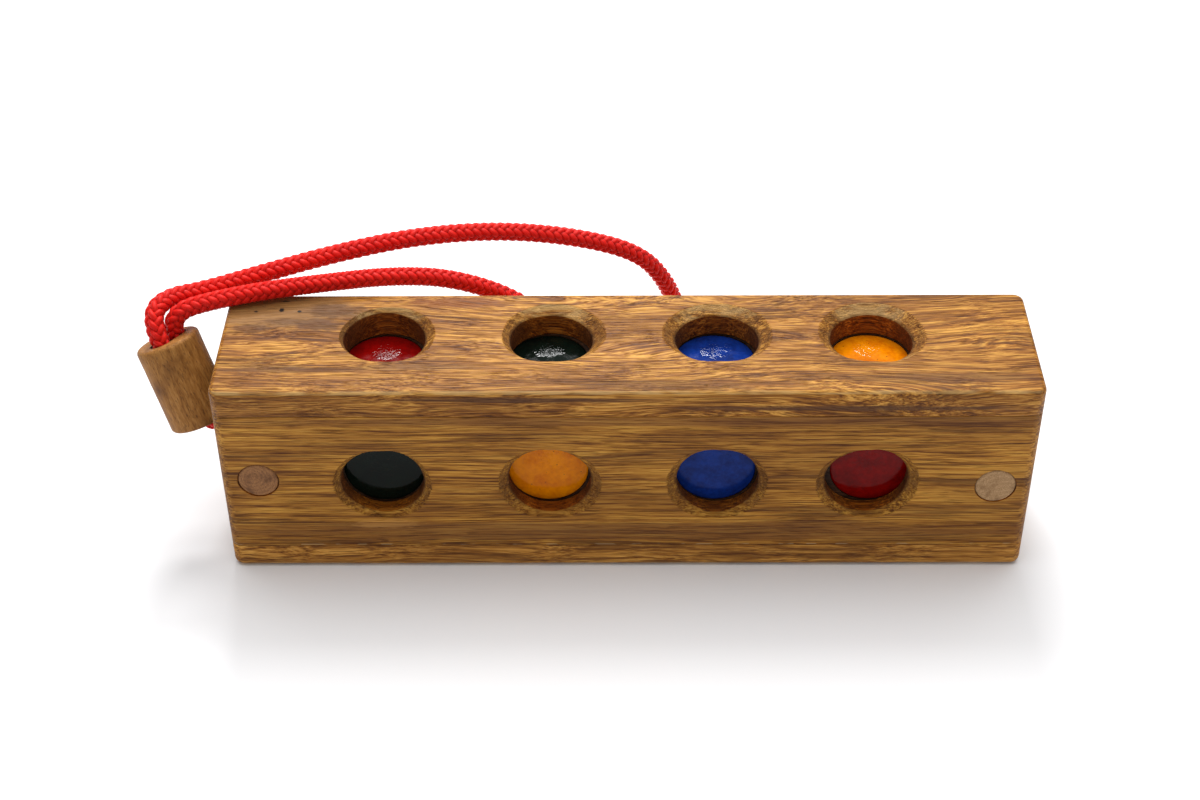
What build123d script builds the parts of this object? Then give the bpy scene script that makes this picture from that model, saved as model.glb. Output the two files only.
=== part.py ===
"""A wooden colour-matching puzzle bar: a long case with round windows on its four long sides.

Inside the case's square channel lie four blocks, each with a domed coloured dot on all four sides.
A locking pin and a fixed dowel show near the ends of the front. A braided carrying cord leaves the
left end, passes through a wooden bead, makes a loop and goes back into the top of the bead.

Millimetres. X runs along the case, -Y is the front, +Z is up, and the origin is the middle of the
case's underside.
"""

import os

from build123d import *

# Case
CASE_LENGTH = 200.0
CASE_DEPTH = 40.0
CASE_HEIGHT = 56.5
TOP_BOARD = 7.5
BOTTOM_BOARD = 7.2
SIDE_BOARD = 5.0
END_BLOCK = 20.0
CORNER_RADIUS = 2.6
TOP_RIM_RADIUS = 1.2
BOTTOM_RIM_RADIUS = 1.8

# Windows: one row on each long side, with a rough countersink that differs from hole to hole
WINDOW_RADIUS = 10.2
SINK_DEPTH = 1.8
TOP_WINDOWS = ((-59.6, 12.2), (-18.6, 13.6), (22.4, 13.7), (60.4, 13.5))
FRONT_WINDOWS = ((-60.2, 12.1), (-19.0, 13.0), (22.4, 12.8), (59.1, 12.9))
BOTTOM_WINDOWS = ((-59.9, 12.6), (-18.8, 13.1), (22.4, 13.4), (59.8, 12.9))
BACK_WINDOWS = ((-59.9, 12.9), (-19.2, 12.6), (22.2, 13.2), (59.6, 12.7))
TOP_WINDOW_Y = 3.0
FRONT_WINDOW_Z = 27.8

# Colour blocks: (middle, length) along X, loose in the channel
BLOCKS = ((-60.1, 38.0), (-19.4, 37.8), (22.0, 38.0), (60.4, 37.6))
BLOCK_SIDE_CLEARANCE = 0.2
BLOCK_EDGE_RADIUS = 0.8
DOT_RADIUS = 9.9
DOT_RIM_GAP = 0.1
DOT_SEAT_DEPTH = 2.2
DOT_RIM_BELOW = 0.35
DOT_CROWN_BELOW = 0.05

# Locking pin in the left end block, fixed dowel in the right one
PIN_X, PIN_Z = -90.7, 28.9
PIN_RADIUS = 4.95
PIN_CLEARANCE = 0.1
PIN_LENGTH = 12.5
PIN_HOLE_LENGTH = 12.8
DOWEL_X, DOWEL_Z = 90.8, 26.7
DOWEL_RADIUS = 5.0
DOWEL_LENGTH = 14.0
PEG_CHAMFER = 0.4

# Carrying cord, its knot in the left end block and its bead
CORD_RADIUS = 2.4
CORD_HOLE_RADIUS = 2.6
CORD_HOLE_Y, CORD_HOLE_Z = 2.0, 28.8
KNOT_POCKET_RADIUS = 7.5
KNOT_POCKET_DEPTH = 16.2
KNOT_RADIUS = 5.4
KNOT_LENGTH = 8.6
KNOT_EDGE_RADIUS = 2.2
CORD_ROUTE = (
    (-96.2, 2.0, 28.8),
    (-107.0, 2.0, 28.8),
    (-111.4, 4.1, 38.6),
    (-114.7, 5.7, 46.9),
    (-117.4, 7.7, 54.4),
    (-118.0, 12.5, 57.8),
    (-114.0, 17.4, 58.0),
    (-107.0, 20.2, 57.6),
    (-94.0, 25.0, 58.9),
    (-75.0, 32.0, 60.6),
    (-54.0, 39.0, 61.3),
    (-32.0, 45.0, 59.0),
    (-11.0, 49.5, 53.4),
    (4.0, 52.0, 46.6),
    (11.0, 54.5, 36.0),
    (14.5, 58.0, 23.5),
    (20.0, 64.0, 11.5),
    (30.0, 71.5, 3.8),
    (45.0, 77.5, 2.6),
    (61.5, 75.0, 2.6),
    (74.0, 65.0, 2.6),
    (78.5, 49.5, 2.6),
    (73.5, 35.0, 2.6),
    (60.5, 26.5, 2.6),
    (42.5, 25.5, 2.6),
    (22.0, 28.0, 3.4),
    (4.0, 32.0, 11.7),
    (-11.5, 33.8, 28.0),
    (-27.0, 31.1, 46.5),
    (-43.6, 27.0, 56.5),
    (-59.0, 24.1, 59.4),
    (-77.0, 21.2, 59.1),
    (-92.0, 17.1, 59.6),
    (-103.5, 14.4, 58.7),
    (-111.8, 12.7, 57.0),
    (-114.3, 11.8, 52.0),
    (-112.7, 10.9, 47.2),
)
ARC_SHARE = 0.45

BEAD_BOTTOM = Vector(-107.6, 2.2, 30.2)
BEAD_TOP = Vector(-115.3, 9.2, 50.5)
BEAD_RADIUS = 8.2
BEAD_EDGE_RADIUS = 1.0
BEAD_BORE_OVERRUN = 6.0
BEAD_SLOT_FLOOR_GAP = 0.8
BEAD_FLARE_RADIUS = 3.9
BEAD_FLARE_DEPTH = 4.0
# the first and last points of the cord's route on its way through the bead
BEAD_FIRST_POINT, BEAD_LAST_POINT = 1, 4

# how far a solid that cuts runs past the face that it opens
OVER = 1.0
FROM_START = (Align.CENTER, Align.CENTER, Align.MIN)

INNER_HEIGHT = CASE_HEIGHT - TOP_BOARD - BOTTOM_BOARD
INNER_DEPTH = CASE_DEPTH - 2 * SIDE_BOARD
INNER_Z = BOTTOM_BOARD + INNER_HEIGHT / 2
FRONT_Y = -CASE_DEPTH / 2


def slab(x_size, y_size, z_size, x=0.0, y=0.0, z=0.0):
    """A box about a middle point."""
    return Pos(x, y, z) * Box(x_size, y_size, z_size)


def case_outline():
    """The whole bar with its eased edges, which every outer board is cut from."""
    bar = slab(CASE_LENGTH, CASE_DEPTH, CASE_HEIGHT, z=CASE_HEIGHT / 2)
    bar = fillet(bar.edges().filter_by(Axis.Z), CORNER_RADIUS)
    bar = fillet(bar.faces().sort_by(Axis.Z)[-1].edges(), TOP_RIM_RADIUS)
    return fillet(bar.faces().sort_by(Axis.Z)[0].edges(), BOTTOM_RIM_RADIUS)


def window(mouth, outward, thickness, sink_radius):
    """The solid that cuts one countersunk window, from its mouth in to the board's inner face."""
    frame = Plane(origin=mouth, z_dir=outward)
    hole = frame * Pos(0, 0, -thickness / 2) * Cylinder(WINDOW_RADIUS, thickness + 2 * OVER)
    flare = (sink_radius - WINDOW_RADIUS) / SINK_DEPTH
    sink = frame * Pos(0, 0, (OVER - SINK_DEPTH) / 2) * Cone(
        WINDOW_RADIUS, sink_radius + flare * OVER, SINK_DEPTH + OVER
    )
    return hole + sink


def peg_hole(x, z, radius, length):
    """A blind round hole in the front, with its floor at the given depth."""
    middle = FRONT_Y + (length - OVER) / 2
    return Pos(x, middle, z) * Rot(90, 0, 0) * Cylinder(radius, length + OVER)


def peg(x, z, radius, length):
    """A round peg whose end is flush with the front, with a small chamfer at both ends."""
    body = Cylinder(radius, length)
    body = chamfer(body.edges(), PEG_CHAMFER)
    return Pos(x, FRONT_Y + length / 2, z) * Rot(90, 0, 0) * body


def case_boards(outline):
    """The four boards round the channel."""
    top = outline & slab(CASE_LENGTH, CASE_DEPTH, TOP_BOARD, z=CASE_HEIGHT - TOP_BOARD / 2)
    for x, sink in TOP_WINDOWS:
        top -= window((x, TOP_WINDOW_Y, CASE_HEIGHT), (0, 0, 1), TOP_BOARD, sink)
    bottom = outline & slab(CASE_LENGTH, CASE_DEPTH, BOTTOM_BOARD, z=BOTTOM_BOARD / 2)
    for x, sink in BOTTOM_WINDOWS:
        bottom -= window((x, TOP_WINDOW_Y, 0), (0, 0, -1), BOTTOM_BOARD, sink)

    side_y = (CASE_DEPTH - SIDE_BOARD) / 2
    front = outline & slab(CASE_LENGTH, SIDE_BOARD, INNER_HEIGHT, y=-side_y, z=INNER_Z)
    for x, sink in FRONT_WINDOWS:
        front -= window((x, FRONT_Y, FRONT_WINDOW_Z), (0, -1, 0), SIDE_BOARD, sink)
    front -= peg_hole(PIN_X, PIN_Z, PIN_RADIUS + PIN_CLEARANCE, PIN_HOLE_LENGTH)
    front -= peg_hole(DOWEL_X, DOWEL_Z, DOWEL_RADIUS, DOWEL_LENGTH)
    back = outline & slab(CASE_LENGTH, SIDE_BOARD, INNER_HEIGHT, y=side_y, z=INNER_Z)
    for x, sink in BACK_WINDOWS:
        back -= window((x, -FRONT_Y, FRONT_WINDOW_Z), (0, 1, 0), SIDE_BOARD, sink)
    return {"top_board": top, "bottom_board": bottom, "front_board": front, "back_board": back}


def end_blocks():
    """The two blocks that close the channel; the left one holds the knot and the pin."""
    middle = (CASE_LENGTH - END_BLOCK) / 2
    left = slab(END_BLOCK, INNER_DEPTH, INNER_HEIGHT, x=-middle, z=INNER_Z)
    left -= peg_hole(PIN_X, PIN_Z, PIN_RADIUS + PIN_CLEARANCE, PIN_HOLE_LENGTH)
    on_axis = Pos(-CASE_LENGTH / 2, CORD_HOLE_Y, CORD_HOLE_Z) * Rot(0, 90, 0)
    left -= on_axis * Pos(0, 0, -OVER) * Cylinder(CORD_HOLE_RADIUS, END_BLOCK, align=FROM_START)
    left -= (
        on_axis
        * Pos(0, 0, END_BLOCK - KNOT_POCKET_DEPTH)
        * Cylinder(KNOT_POCKET_RADIUS, KNOT_POCKET_DEPTH + OVER, align=FROM_START)
    )
    right = slab(END_BLOCK, INNER_DEPTH, INNER_HEIGHT, x=middle, z=INNER_Z)
    right -= peg_hole(DOWEL_X, DOWEL_Z, DOWEL_RADIUS, DOWEL_LENGTH)
    return {"left_end_block": left, "right_end_block": right}


def dot_profile():
    """A domed dot, standing on its seat with its axis along +Z and the block's face at z = 0."""
    crown = -DOT_CROWN_BELOW
    rim = -DOT_RIM_BELOW
    floor = -DOT_SEAT_DEPTH
    rise = crown - rim
    dome_radius = (DOT_RADIUS**2 + rise**2) / (2 * rise)
    dome = Pos(0, 0, crown - dome_radius) * Sphere(dome_radius)
    return Pos(0, 0, (crown + floor) / 2) * Cylinder(DOT_RADIUS, crown - floor) & dome


def colour_block(index, x, length):
    """One block and its four dots, named by the side of the case that they face."""
    depth = INNER_DEPTH - 2 * BLOCK_SIDE_CLEARANCE
    height = INNER_HEIGHT - 2 * BLOCK_SIDE_CLEARANCE
    body = slab(length, depth, height, x=x, z=INNER_Z)
    body = fillet(body.edges(), BLOCK_EDGE_RADIUS)
    seats = {
        "top": Plane(origin=(x, TOP_WINDOW_Y, INNER_Z + height / 2), z_dir=(0, 0, 1)),
        "bottom": Plane(origin=(x, TOP_WINDOW_Y, INNER_Z - height / 2), z_dir=(0, 0, -1)),
        "front": Plane(origin=(x, -depth / 2, FRONT_WINDOW_Z), z_dir=(0, -1, 0)),
        "back": Plane(origin=(x, depth / 2, FRONT_WINDOW_Z), z_dir=(0, 1, 0)),
    }
    seat = Pos(0, 0, (OVER - DOT_SEAT_DEPTH) / 2) * Cylinder(
        DOT_RADIUS + DOT_RIM_GAP, DOT_SEAT_DEPTH + OVER
    )
    dot = dot_profile()
    pieces = {}
    for side, plane in seats.items():
        body -= plane * seat
        pieces[f"dot_{index}_{side}"] = plane * dot
    pieces[f"block_{index}"] = body
    return pieces


def cord_radii():
    """The radius of the arc at each inner point of the cord's route."""
    points = [Vector(*p) for p in CORD_ROUTE]
    runs = [b - a for a, b in zip(points, points[1:])]
    radii = []
    for before, after in zip(runs, runs[1:]):
        turn = before.get_angle(after)
        shorter = min(before.length, after.length)
        radii.append(ARC_SHARE * shorter / tan_half(turn))
        print(f"cord turn {turn:5.1f} degrees, radius {radii[-1]:6.1f} mm")
    return radii


def tan_half(degrees):
    """The tangent of half an angle given in degrees."""
    half = Vector(1, 0, 0).rotate(Axis.Z, degrees / 2)
    return half.Y / half.X


def carry_cord():
    """The cord: straight runs joined by tangent arcs, with its knot in the left end block."""
    path = FilletPolyline(*CORD_ROUTE, radius=cord_radii())
    section = Plane(origin=path @ 0, z_dir=path % 0) * Circle(CORD_RADIUS)
    tube = sweep(section, path=path)
    ideal = section.area * path.length
    print(f"cord length {path.length:.1f} mm, volume over section x length {tube.volume / ideal:.5f}")
    knot = Cylinder(KNOT_RADIUS, KNOT_LENGTH)
    knot = fillet(knot.edges(), KNOT_EDGE_RADIUS)
    knot_x = CORD_ROUTE[0][0] + KNOT_LENGTH / 2
    knot = Pos(knot_x, CORD_HOLE_Y, CORD_HOLE_Z) * Rot(0, 90, 0) * knot
    return {"carry_cord": tube, "cord_knot": knot}


def bead():
    """The turned bead: a bore along the through strand and a slot at the top for both strands."""
    lean = BEAD_TOP - BEAD_BOTTOM
    frame = Plane(origin=BEAD_BOTTOM, z_dir=lean)
    body = Cylinder(BEAD_RADIUS, lean.length, align=FROM_START)
    body = frame * fillet(body.edges(), BEAD_EDGE_RADIUS)

    through_points = [Vector(*p) for p in CORD_ROUTE[BEAD_FIRST_POINT : BEAD_LAST_POINT + 1]]
    for a, b in zip(through_points, through_points[1:]):
        run = Plane(origin=a, z_dir=b - a)
        length = (b - a).length + BEAD_BORE_OVERRUN
        body -= run * Cylinder(CORD_HOLE_RADIUS, length, align=FROM_START)
    flare = Cylinder(BEAD_FLARE_RADIUS, BEAD_FLARE_DEPTH + OVER, align=FROM_START)
    body -= frame * Pos(0, 0, -OVER) * flare

    low, high = through_points[1], through_points[-1]
    strand = (high - low).normalized()
    returning = Vector(*CORD_ROUTE[-1]) - strand * BEAD_SLOT_FLOOR_GAP
    through = low + strand * (returning - low).dot(strand)
    across = returning - through
    slot = SlotCenterToCenter(across.length, 2 * CORD_HOLE_RADIUS)
    slot_frame = Plane(origin=(through + returning) * 0.5, x_dir=across, z_dir=strand)
    body -= extrude(slot_frame * slot, amount=lean.length)
    return {"bead": body}


def build():
    """Every piece of the puzzle by its node name."""
    parts = case_boards(case_outline())
    parts.update(end_blocks())
    parts["lock_pin"] = peg(PIN_X, PIN_Z, PIN_RADIUS, PIN_LENGTH)
    parts["fixed_dowel"] = peg(DOWEL_X, DOWEL_Z, DOWEL_RADIUS, DOWEL_LENGTH)
    for number, (x, length) in enumerate(BLOCKS, start=1):
        parts.update(colour_block(number, x, length))
    parts.update(carry_cord())
    parts.update(bead())
    return parts


os.makedirs("parts", exist_ok=True)
for name, shape in build().items():
    export_step(shape, f"parts/{name}.step")
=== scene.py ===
"""A wooden colour-matching puzzle bar with a red carrying cord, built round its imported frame.

Lengths are metres, as in the frame. Materials work in millimetres, so that grain sizes read
plainly.
"""

import math

import bmesh
import bpy
import numpy as np
from mathutils import Matrix, Vector, noise


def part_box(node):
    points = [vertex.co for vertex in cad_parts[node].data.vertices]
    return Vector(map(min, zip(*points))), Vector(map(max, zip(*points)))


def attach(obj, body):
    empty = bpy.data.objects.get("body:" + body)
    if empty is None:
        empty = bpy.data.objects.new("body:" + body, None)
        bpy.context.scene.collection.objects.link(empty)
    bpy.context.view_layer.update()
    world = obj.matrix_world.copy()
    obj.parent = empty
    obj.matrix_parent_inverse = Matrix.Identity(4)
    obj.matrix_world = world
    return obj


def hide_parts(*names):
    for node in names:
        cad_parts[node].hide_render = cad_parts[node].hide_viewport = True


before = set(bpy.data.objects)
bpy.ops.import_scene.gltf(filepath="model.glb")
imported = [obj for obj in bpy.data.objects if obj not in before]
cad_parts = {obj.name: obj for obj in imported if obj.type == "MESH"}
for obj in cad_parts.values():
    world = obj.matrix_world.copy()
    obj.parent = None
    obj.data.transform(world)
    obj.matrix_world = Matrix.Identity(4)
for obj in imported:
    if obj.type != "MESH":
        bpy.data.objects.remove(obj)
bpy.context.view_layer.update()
MM = 0.001


# ---------------------------------------- camera

SENSOR_WIDTH, LENS = 36.0, 60.6
EYE = Vector((-0.0026, -0.3939, 0.3563))
PITCH, YAW, ROLL = (math.radians(angle) for angle in (38.93, 0.58, 0.48))


def link(made):
    """Puts an object into the scene."""
    bpy.context.scene.collection.objects.link(made)
    return made


def add_camera():
    """The camera, tilted down at the bar's front."""
    data = bpy.data.cameras.new("camera")
    data.sensor_width, data.lens = SENSOR_WIDTH, LENS
    data.clip_start, data.clip_end = 0.01, 20.0
    camera = link(bpy.data.objects.new("camera", data))
    aim = Matrix.Rotation(YAW, 4, "Z") @ Matrix.Rotation(math.pi / 2 - PITCH, 4, "X")
    camera.matrix_world = Matrix.Translation(EYE) @ aim @ Matrix.Rotation(-ROLL, 4, "Z")
    bpy.context.scene.camera = camera


add_camera()


# ---------------------------------------- cord

CORD_ROUTE = (
    (-0.0962, 0.0020, 0.0288),
    (-0.1070, 0.0020, 0.0288),
    (-0.1114, 0.0041, 0.0386),
    (-0.1147, 0.0057, 0.0469),
    (-0.1174, 0.0077, 0.0544),
    (-0.1180, 0.0125, 0.0578),
    (-0.1140, 0.0174, 0.0580),
    (-0.1070, 0.0202, 0.0576),
    (-0.0940, 0.0250, 0.0589),
    (-0.0750, 0.0320, 0.0606),
    (-0.0540, 0.0390, 0.0613),
    (-0.0320, 0.0450, 0.0590),
    (-0.0110, 0.0495, 0.0534),
    (0.0040, 0.0520, 0.0466),
    (0.0110, 0.0545, 0.0360),
    (0.0145, 0.0580, 0.0235),
    (0.0200, 0.0640, 0.0115),
    (0.0300, 0.0715, 0.0038),
    (0.0450, 0.0775, 0.0026),
    (0.0615, 0.0750, 0.0026),
    (0.0740, 0.0650, 0.0026),
    (0.0785, 0.0495, 0.0026),
    (0.0735, 0.0350, 0.0026),
    (0.0605, 0.0265, 0.0026),
    (0.0425, 0.0255, 0.0026),
    (0.0220, 0.0280, 0.0034),
    (0.0040, 0.0320, 0.0117),
    (-0.0115, 0.0338, 0.0280),
    (-0.0270, 0.0311, 0.0465),
    (-0.0436, 0.0270, 0.0565),
    (-0.0590, 0.0241, 0.0594),
    (-0.0770, 0.0212, 0.0591),
    (-0.0920, 0.0171, 0.0596),
    (-0.1035, 0.0144, 0.0587),
    (-0.1118, 0.0127, 0.0570),
    (-0.1143, 0.0118, 0.0520),
    (-0.1127, 0.0109, 0.0472),
)

# The braid: strands that wind each way round the cord, each over two and under two of the others
STRANDS_EACH_WAY = 6
BRAID_LEAD = 13.0 * MM
BRAID_STEP = 0.46 * MM
STRAND_MID_RADIUS = 1.62 * MM
STRAND_RISE = 0.30 * MM
STRAND_HALF_WIDTH = 0.78 * MM
STRAND_HALF_THICKNESS = 0.57 * MM
STRAND_SIDES = 6


def spline_points(route):
    """The points along a NURBS spline whose control points are the route's, in order."""
    curve = bpy.data.curves.new("cord_line", "CURVE")
    curve.dimensions = "3D"
    spline = curve.splines.new("NURBS")
    spline.points.add(len(route) - 1)
    for point, place in zip(spline.points, route):
        point.co = (*place, 1.0)
    spline.order_u = 3
    spline.use_endpoint_u = True
    spline.resolution_u = 24
    holder = bpy.data.objects.new("cord_line", curve)
    mesh = bpy.data.meshes.new_from_object(holder)
    points = np.array([vertex.co for vertex in mesh.vertices], float)
    bpy.data.meshes.remove(mesh)
    bpy.data.objects.remove(holder)
    bpy.data.curves.remove(curve)
    return points


def evenly_along(points, step):
    """Points at even distances along a line, and those distances."""
    gone = np.concatenate([[0.0], np.cumsum(np.linalg.norm(np.diff(points, axis=0), axis=1))])
    distances = np.linspace(0.0, gone[-1], int(round(gone[-1] / step)) + 1)
    return np.stack([np.interp(distances, gone, points[:, k]) for k in range(3)], 1), distances


def unit(vectors):
    """The vectors at length 1."""
    return vectors / np.linalg.norm(vectors, axis=-1, keepdims=True)


def untwisted_frames(line):
    """Tangents along a line, and two square directions that turn with it without twisting."""
    tangents = unit(np.gradient(line, axis=0))
    side = unit(np.cross(tangents[0], (0.0, 0.0, 1.0)))
    sides = []
    for tangent in tangents:
        side = unit(side - tangent * (side @ tangent))
        sides.append(side)
    sides = np.array(sides)
    return tangents, sides, np.cross(tangents, sides)


def strand_rings(line, distances, frames, number, way):
    """The cross-sections of one strand as an array (along, around, 3), and how high it rides."""
    tangents, across, up = frames
    angle = way * 2 * math.pi * distances / BRAID_LEAD + 2 * math.pi * number / STRANDS_EACH_WAY
    outward = np.cos(angle)[:, None] * across + np.sin(angle)[:, None] * up
    around = np.cos(angle)[:, None] * up - np.sin(angle)[:, None] * across
    column = angle * STRANDS_EACH_WAY / math.pi
    rides = way * np.sin(math.pi / 2 * (column + 0.5))
    lean = way * 2 * math.pi * STRAND_MID_RADIUS / BRAID_LEAD
    wide = unit(around - lean * tangents)
    middle = line + (STRAND_MID_RADIUS + STRAND_RISE * rides)[:, None] * outward
    rings = []
    for side in range(STRAND_SIDES):
        turn = 2 * math.pi * side / STRAND_SIDES
        width = STRAND_HALF_WIDTH * (1 + 0.08 * rides) * math.cos(turn)
        height = STRAND_HALF_THICKNESS * (1 + 0.12 * rides) * math.sin(turn)
        rings.append(middle + width[:, None] * wide + height[:, None] * outward)
    return np.stack(rings, 1), rides


def mesh_object(name, vertices, faces, material):
    """A smooth object from plain vertices and faces."""
    mesh = bpy.data.meshes.new(name)
    mesh.from_pydata(vertices, [], faces)
    mesh.polygons.foreach_set("use_smooth", [True] * len(mesh.polygons))
    mesh.materials.append(material)
    mesh.update()
    return link(bpy.data.objects.new(name, mesh))


def tube_faces(first, rings, sides):
    """The faces of a closed tube whose vertices run ring by ring from the given one."""
    faces = [
        (
            first + ring * sides + side,
            first + ring * sides + (side + 1) % sides,
            first + (ring + 1) * sides + (side + 1) % sides,
            first + (ring + 1) * sides + side,
        )
        for ring in range(rings - 1)
        for side in range(sides)
    ]
    faces.append(tuple(first + side for side in reversed(range(sides))))
    faces.append(tuple(first + (rings - 1) * sides + side for side in range(sides)))
    return faces


def add_point_values(made, name, values):
    """One number for each vertex, which a material can read by name."""
    attribute = made.data.attributes.new(name, "FLOAT", "POINT")
    attribute.data.foreach_set("value", np.asarray(values, np.float32))


def braided_cord(line, material):
    """The carrying cord as its strands, woven over two and under two."""
    middle, distances = evenly_along(line, BRAID_STEP)
    frames = untwisted_frames(middle)
    vertices, faces, heights, along, across, tints = [], [], [], [], [], []
    for way in (1, -1):
        for number in range(STRANDS_EACH_WAY):
            rings, rides = strand_rings(middle, distances, frames, number, way)
            count = len(middle)
            faces += tube_faces(len(heights), count, STRAND_SIDES)
            vertices.append(rings.reshape(-1, 3))
            heights += list(np.repeat(rides, STRAND_SIDES))
            along += list(np.repeat(distances / MM, STRAND_SIDES))
            across += list(np.tile(np.arange(STRAND_SIDES), count))
            tints += [(number * 0.37 + (way > 0) * 0.5) % 1.0] * (count * STRAND_SIDES)
    cord = mesh_object("braided_cord", np.concatenate(vertices).tolist(), faces, material)
    add_point_values(cord, "strand_height", heights)
    add_point_values(cord, "strand_along", along)
    add_point_values(cord, "strand_across", across)
    add_point_values(cord, "strand_tint", tints)
    return cord


# ---------------------------------------- materials


def srgb(red, green, blue):
    """A linear colour from display values of 0 to 255."""
    return (*(((value / 255 + 0.055) / 1.055) ** 2.4 for value in (red, green, blue)), 1.0)


class Paint:
    """One material's nodes, put together by short calls. Vectors are in millimetres."""

    def __init__(self, name):
        self.material = bpy.data.materials.new(name)
        self.material.use_nodes = True
        self.tree = self.material.node_tree
        self.shader = self.tree.nodes["Principled BSDF"]

    def node(self, kind, inputs=(), **settings):
        """A node with its inputs set or linked, in order."""
        made = self.tree.nodes.new(kind)
        for name, value in settings.items():
            setattr(made, name, value)
        for socket, value in inputs:
            if isinstance(value, bpy.types.NodeSocket):
                self.tree.links.new(value, made.inputs[socket])
            else:
                made.inputs[socket].default_value = value
        return made

    def place(self):
        """The point on the object, in millimetres."""
        made = self.node("ShaderNodeTexCoord").outputs["Object"]
        return self.vector("SCALE", made, scale=1 / MM)

    def normal(self):
        """The way the surface faces, in the object's own axes."""
        return self.node("ShaderNodeTexCoord").outputs["Normal"]

    def vector(self, operation, a, b=None, scale=None):
        """One vector operation."""
        inputs = [(0, a)]
        if b is not None:
            inputs.append((1, b))
        if scale is not None:
            inputs.append(("Scale", scale))
        made = self.node("ShaderNodeVectorMath", inputs, operation=operation)
        return made.outputs["Value" if operation in ("LENGTH", "DOT_PRODUCT") else "Vector"]

    def sum(self, operation, a, b=0.0, c=0.0):
        """One sum on numbers."""
        inputs = [(0, a), (1, b), (2, c)]
        return self.node("ShaderNodeMath", inputs, operation=operation).outputs[0]

    def times(self, a, b):
        """a times b."""
        return self.sum("MULTIPLY", a, b)

    def minus(self, a, b):
        """a less b."""
        return self.sum("SUBTRACT", a, b)

    def add_share(self, a, share, rest):
        """The rest, and a times its share."""
        return self.sum("MULTIPLY_ADD", a, share, rest)

    def axes(self, vector):
        """A vector's x, y and z."""
        return self.node("ShaderNodeSeparateXYZ", [(0, vector)]).outputs

    def stretched(self, vector, size):
        """The vector divided by a grain size along each axis."""
        return self.vector("MULTIPLY", vector, tuple(1 / part for part in size))

    def noise(self, vector, size, detail=2.0, roughness=0.5, output="Factor"):
        """Soft noise, from 0 to 1, whose grains are about size long each way."""
        inputs = [
            ("Vector", self.stretched(vector, size)),
            ("Scale", 1.0),
            ("Detail", detail),
            ("Roughness", roughness),
        ]
        made = self.node("ShaderNodeTexNoise", inputs)
        return made.outputs[0 if output == "Factor" else 1]

    def spots(self, vector, size):
        """The distance to the nearest of scattered points, in spot sizes."""
        inputs = [("Vector", self.stretched(vector, size)), ("Scale", 1.0)]
        return self.node("ShaderNodeTexVoronoi", inputs).outputs["Distance"]

    def step(self, value, low, high):
        """0 below low, 1 above high, smooth between."""
        inputs = [("Value", value), ("From Min", low), ("From Max", high)]
        made = self.node("ShaderNodeMapRange", inputs, interpolation_type="SMOOTHSTEP")
        return made.outputs["Result"]

    def band(self, value, middle, half_width):
        """1 at the middle value, falling to 0 half a width away."""
        away = self.sum("ABSOLUTE", self.minus(value, middle))
        return self.minus(1.0, self.step(away, 0.0, half_width))

    def blob(self, vector, middle, radii):
        """1 inside an ellipsoid, falling to 0 outside, with a ragged edge."""
        offset = self.stretched(self.vector("SUBTRACT", vector, middle), radii)
        reach = self.vector("LENGTH", offset)
        edge = self.noise(vector, [radius * 0.35 for radius in radii], 3.0)
        reach = self.add_share(self.minus(edge, 0.5), 1.4, reach)
        return self.minus(1.0, self.step(reach, 0.6, 1.15))

    def ramp(self, value, *stops):
        """Colours along a value, from (position, colour) stops."""
        made = self.node("ShaderNodeValToRGB", [(0, value)])
        elements = made.color_ramp.elements
        while len(elements) < len(stops):
            elements.new(0.5)
        for element, (position, colour) in zip(elements, stops):
            element.position, element.color = position, colour
        return made.outputs["Color"]

    def mix(self, factor, a, b, blend="MIX"):
        """One colour over another."""
        made = self.node("ShaderNodeMix", data_type="RGBA", blend_type=blend)
        for socket, value in ((0, factor), (6, a), (7, b)):
            if isinstance(value, bpy.types.NodeSocket):
                self.tree.links.new(value, made.inputs[socket])
            else:
                made.inputs[socket].default_value = value
        return made.outputs[2]

    def value(self, name):
        """A number that the mesh holds for each vertex."""
        return self.node("ShaderNodeAttribute", attribute_name=name).outputs["Fac"]

    def finish(self, colour, roughness, height, depth, **constants):
        """Joins colour, roughness and relief to the shader. depth is in millimetres."""
        bump = self.node("ShaderNodeBump", [("Height", height), ("Distance", depth * MM)])
        for socket, value in (
            ("Base Color", colour),
            ("Roughness", roughness),
            ("Normal", bump.outputs["Normal"]),
        ):
            self.tree.links.new(value, self.shader.inputs[socket])
        for name, value in constants.items():
            self.shader.inputs[name.replace("_", " ")].default_value = value
        return self.material


WHITE = (1.0, 1.0, 1.0, 1.0)
# millimetres over the surface that the bar stands on
SEAM_HEIGHT, SEAM_HALF_WIDTH, MIDDLE_HEIGHT = 7.25, 0.35, 28.25
# a mark this strong covers the wood's light lines as well
SOLID_MARK = 0.8
# how squarely a cut crosses the fibres where they start to tear, and where all are torn
TORN_FROM_TO = {"sink": (0.40, 0.85), "wall": (0.45, 0.95)}


def wood_grain(paint, figure, sway):
    """The figure, swayed as grain is, and its tone in coarse, fine and hair-thin lines."""
    drift = paint.noise(figure, (64.0, 17.0, 17.0), 1.5, output="Color")
    drift = paint.vector("SUBTRACT", drift, (0.5, 0.5, 0.5))
    drift = paint.vector("MULTIPLY", drift, (0.0, sway * 2, sway * 2))
    swayed = paint.vector("ADD", figure, drift)
    coarse = paint.noise(swayed, (60.0, 1.1, 1.1), 3.0, 0.55)
    fine = paint.noise(swayed, (24.0, 0.42, 0.42), 3.0, 0.6)
    hair = paint.noise(swayed, (6.0, 0.18, 0.18), 2.0, 0.6)
    tone = paint.add_share(fine, 0.46, paint.times(coarse, 0.30))
    return swayed, paint.add_share(hair, 0.24, tone)


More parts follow.
